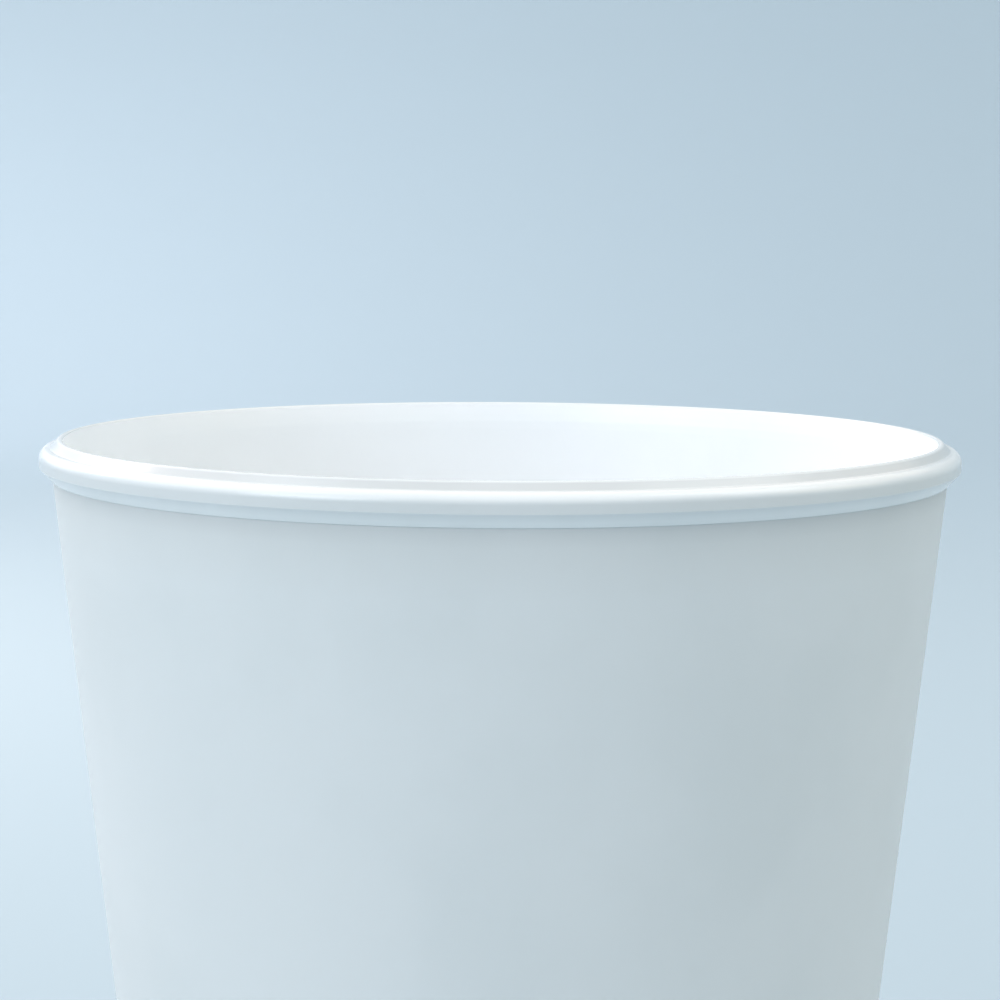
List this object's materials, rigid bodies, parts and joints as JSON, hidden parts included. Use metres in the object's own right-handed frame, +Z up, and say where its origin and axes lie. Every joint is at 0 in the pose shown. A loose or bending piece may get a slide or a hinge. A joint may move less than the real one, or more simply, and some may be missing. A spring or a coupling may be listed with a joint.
{
  "type": "plastic coffee cup",
  "caption": "Tapered white plastic coffee cup with a beaded rim for a snap lid, a raised drinking lip and a recessed base with a foot ring.",
  "frame": {"origin": "on the cup's axis, at the plane of the table that the foot ring stands on", "axes": "+Z up along the cup's axis, towards the rim; +X through the middle of one stacking rib"},
  "size_m": [0.09, 0.09, 0.137],
  "materials": {
    "white_plastic": "fine matte moulded wall with a smooth glossier rim"
  },
  "bodies": {
    "root": {"cup": "white_plastic"}
  },
  "joints": []
}
